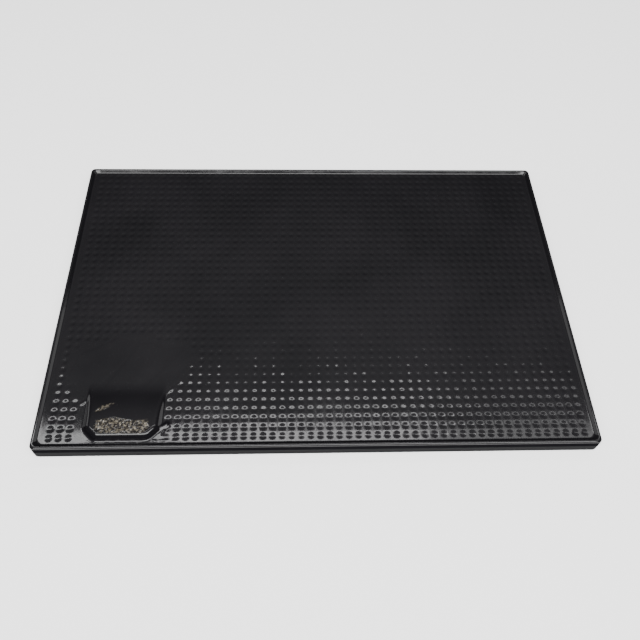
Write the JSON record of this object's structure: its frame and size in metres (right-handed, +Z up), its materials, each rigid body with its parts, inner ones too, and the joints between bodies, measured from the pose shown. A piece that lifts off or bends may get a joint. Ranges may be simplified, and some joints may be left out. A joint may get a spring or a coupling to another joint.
{
  "type": "seedling heat mat",
  "caption": "Flat rectangular propagation heat mat with a dimpled glossy black top, a low edge lip and a raised junction bay in one corner.",
  "frame": {"origin": "centre of the mat on the surface it stands on", "axes": "+X along the long side to the right, +Y from the front edge, where the junction bay is, to the back edge, +Z up"},
  "size_m": [0.6, 0.4, 0.0267],
  "materials": {
    "skin": "glossy black skin",
    "tray": "satin black moulding",
    "foam": "closed-cell insulation board",
    "foil": "bright foil",
    "plate": "mill finish sheet",
    "cable": "silicone sheath",
    "core": "resistance wire",
    "housing": "black moulding",
    "gasket": "soft seal",
    "steel": "zinc plated",
    "gland": "soft black bush",
    "block": "natural polyamide",
    "brass": "plain brass",
    "live": "brown insulation",
    "neutral": "blue insulation",
    "earth": "green insulation",
    "crimp": "tinned crimp",
    "fuse": "fuse body",
    "plug": "phenolic plug",
    "bimetal": "bimetal strip",
    "silver": "silver contact",
    "foot": "rubber foot",
    "label": "blank label"
  },
  "bodies": {
    "mat": {"base_tray": "tray", "insulation_board": "foam", "reflector_foil": "foil", "heating_cable_sheath": "cable", "heating_cable_core": "core", "cable_hold_strips": "foil", "spreader_plate": "plate", "patch_tape_left": "foil", "patch_tape_centre": "foil", "patch_tape_right": "foil", "top_skin": "skin", "junction_housing": "housing", "junction_gasket": "gasket", "junction_lid": "housing", "lid_screws": "steel", "inlet_gland": "gland", "terminal_block": "block", "terminal_inserts": "brass", "terminal_screws": "steel", "cable_entry_seals": "gasket", "crimp_splices": "crimp", "live_lead": "live", "fuse_lead": "live", "cutout_lead": "live", "neutral_lead": "neutral", "earth_lead": "earth", "thermal_fuse": "fuse", "earth_ring": "crimp", "earth_screw": "steel", "cutout_can": "steel", "cutout_plug": "plug", "cutout_fixed_strip": "brass", "cutout_arm_root": "brass", "rubber_feet": "foot", "rating_label": "label"},
    "contact_arm": {"cutout_bimetal_arm": "bimetal", "cutout_moving_contact": "silver"}
  },
  "joints": [
    {"name": "cutout_contact", "type": "hinge", "parent": "mat", "child": "contact_arm", "pos_m": [-0.15285, -0.1685, 0.01558], "axis": [0, -1, 0], "range_deg": [0, 4], "stiffness_Nm_per_rad": 0.002, "springref_deg": -1.15}
  ]
}
